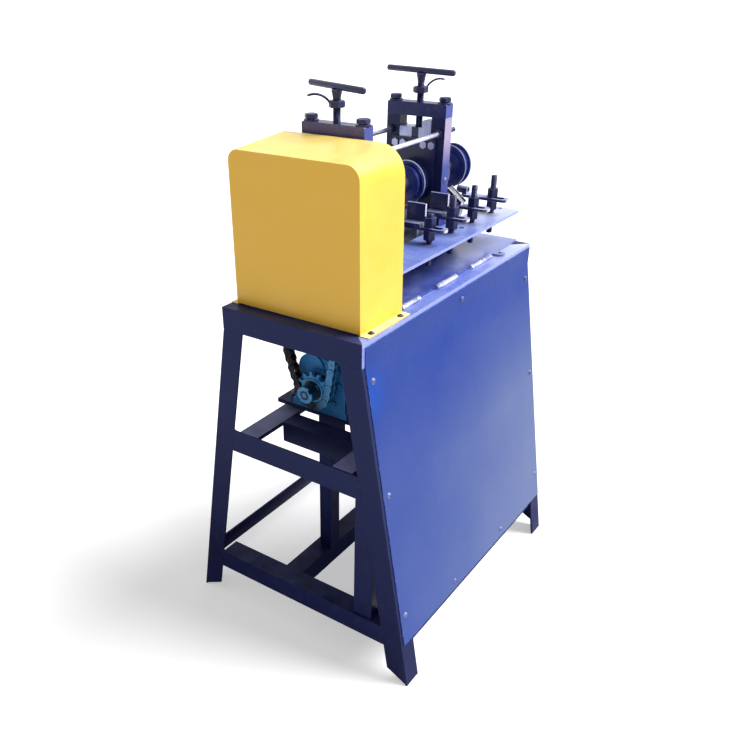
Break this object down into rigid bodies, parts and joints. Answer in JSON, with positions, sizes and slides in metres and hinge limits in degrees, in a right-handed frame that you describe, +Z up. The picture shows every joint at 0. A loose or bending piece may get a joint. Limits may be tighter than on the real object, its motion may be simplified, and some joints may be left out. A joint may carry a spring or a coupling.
{
  "type": "motor-driven cable stripping machine",
  "caption": "Angle-iron stand with a chain and gear driven pair of shafts, cutting discs over feed rollers, screw-down bearings and clamped cable guides",
  "frame": {"origin": "centre of the footprint, on the floor under the four feet", "axes": "+X along the machine from the gear cover to the overhung wheel, -Y the feed side, +Z up"},
  "size_m": [0.604, 0.502, 0.975],
  "materials": {
    "blue_paint": "gloss enamel",
    "yellow_paint": "gloss enamel",
    "teal_paint": "gloss enamel",
    "dark_paint": "worn enamel",
    "oiled_steel": "oiled",
    "ground_steel": "ground",
    "bronze": "turned"
  },
  "bodies": {
    "stand": {"bearing_caps": "blue_paint", "cap_bolts": "dark_paint", "cross_rail": "blue_paint", "end_post": "blue_paint", "far_bearing_plate": "blue_paint", "far_front_leg": "blue_paint", "far_rear_leg": "blue_paint", "feed_brackets": "blue_paint", "feed_plate": "blue_paint", "fixed_nuts": "dark_paint", "front_panel": "blue_paint", "gear_case": "teal_paint", "gear_cover": "yellow_paint", "low_end_rails": "blue_paint", "low_middle_rail": "blue_paint", "low_side_bars": "blue_paint", "lower_bushes": "bronze", "mid_end_rails": "blue_paint", "mid_long_rails": "blue_paint", "motor": "teal_paint", "motor_plate": "blue_paint", "motor_post": "blue_paint", "near_bearing_plate": "blue_paint", "near_front_leg": "blue_paint", "near_rear_leg": "blue_paint", "roller_chain": "oiled_steel", "sheet_screws": "ground_steel", "table_sheet": "blue_paint", "terminal_box": "teal_paint", "threaded_rods": "dark_paint", "top_far_rail": "blue_paint", "top_front_rail": "blue_paint", "top_near_rail": "blue_paint", "top_rear_rail": "blue_paint"},
    "lower_drive": {"lower_shaft": "oiled_steel", "lower_gear": "oiled_steel", "driven_sprocket": "oiled_steel", "feed_rollers": "ground_steel", "lower_end_nut": "oiled_steel"},
    "upper_carriage": {"near_block": "ground_steel", "far_block": "ground_steel"},
    "upper_drive": {"upper_shaft": "oiled_steel", "upper_gear": "oiled_steel", "disc_hubs": "dark_paint", "cutting_discs": "ground_steel", "upper_end_nut": "oiled_steel"},
    "near_screw": {"near_pressure_screw": "dark_paint"},
    "far_screw": {"far_pressure_screw": "dark_paint"},
    "near_lock": {"near_lock_nut": "dark_paint"},
    "far_lock": {"far_lock_nut": "dark_paint"},
    "output_drive": {"output_shaft": "oiled_steel", "drive_sprocket": "oiled_steel"},
    "station_1_nuts": {"clamp_nuts_1": "dark_paint"},
    "station_1_strap": {"guide_strap_1": "blue_paint"},
    "station_2_nuts": {"clamp_nuts_2": "dark_paint"},
    "station_2_strap": {"guide_strap_2": "blue_paint"},
    "station_3_nuts": {"clamp_nuts_3": "dark_paint"},
    "station_3_strap": {"guide_strap_3": "blue_paint"},
    "station_4_nuts": {"clamp_nuts_4": "dark_paint"},
    "station_4_strap": {"guide_strap_4": "blue_paint"}
  },
  "joints": [
    {"name": "lower_shaft_spin", "type": "hinge", "parent": "stand", "child": "lower_drive", "pos_m": [0, 0.024, 0.709], "axis": [1, 0, 0], "continuous": true, "deforming": ["roller_chain"]},
    {"name": "output_spin", "type": "hinge", "parent": "stand", "child": "output_drive", "pos_m": [0, 0.022, 0.4916], "axis": [1, 0, 0], "continuous": true},
    {"name": "carriage_lift", "type": "slide", "parent": "stand", "child": "upper_carriage", "axis": [0, 0, 1], "range_m": [0, 0.005]},
    {"name": "upper_shaft_spin", "type": "hinge", "parent": "upper_carriage", "child": "upper_drive", "pos_m": [0, 0.024, 0.789], "axis": [1, 0, 0], "continuous": true},
    {"name": "near_screw_turn", "type": "hinge", "parent": "upper_carriage", "child": "near_screw", "pos_m": [-0.1345, 0.024, 0.95], "axis": [0, 0, 1], "range_deg": [0, 1029]},
    {"name": "near_lock_turn", "type": "hinge", "parent": "near_screw", "child": "near_lock", "pos_m": [-0.1345, 0.024, 0.943], "axis": [0, 0, 1], "range_deg": [-180, 180]},
    {"name": "far_screw_turn", "type": "hinge", "parent": "upper_carriage", "child": "far_screw", "pos_m": [0.1205, 0.024, 0.95], "axis": [0, 0, 1], "range_deg": [0, 1029]},
    {"name": "far_lock_turn", "type": "hinge", "parent": "far_screw", "child": "far_lock", "pos_m": [0.1205, 0.024, 0.943], "axis": [0, 0, 1], "range_deg": [-180, 180]},
    {"name": "station_1_height", "type": "slide", "parent": "stand", "child": "station_1_nuts", "axis": [0, 0, 1], "range_m": [-0.006, 0.02]},
    {"name": "station_1_reach", "type": "slide", "parent": "station_1_nuts", "child": "station_1_strap", "axis": [0, 1, 0], "range_m": [-0.002, 0.01]},
    {"name": "station_2_height", "type": "slide", "parent": "stand", "child": "station_2_nuts", "axis": [0, 0, 1], "range_m": [-0.006, 0.02]},
    {"name": "station_2_reach", "type": "slide", "parent": "station_2_nuts", "child": "station_2_strap", "axis": [0, 1, 0], "range_m": [-0.002, 0.01]},
    {"name": "station_3_height", "type": "slide", "parent": "stand", "child": "station_3_nuts", "axis": [0, 0, 1], "range_m": [-0.006, 0.01]},
    {"name": "station_3_reach", "type": "slide", "parent": "station_3_nuts", "child": "station_3_strap", "axis": [0, 1, 0], "range_m": [-0.006, 0.003]},
    {"name": "station_4_height", "type": "slide", "parent": "stand", "child": "station_4_nuts", "axis": [0, 0, 1], "range_m": [-0.003, 0.003]},
    {"name": "station_4_reach", "type": "slide", "parent": "station_4_nuts", "child": "station_4_strap", "axis": [0, 1, 0], "range_m": [-0.006, 0.003]}
  ],
  "couplings": [
    {"joint": "upper_shaft_spin", "follows": "lower_shaft_spin", "ratio": -1},
    {"joint": "output_spin", "follows": "lower_shaft_spin", "ratio": 2.3333},
    {"joint": "near_screw_turn", "follows": "carriage_lift", "rad_per_m": 3590.4},
    {"joint": "far_screw_turn", "follows": "carriage_lift", "rad_per_m": 3590.4}
  ]
}
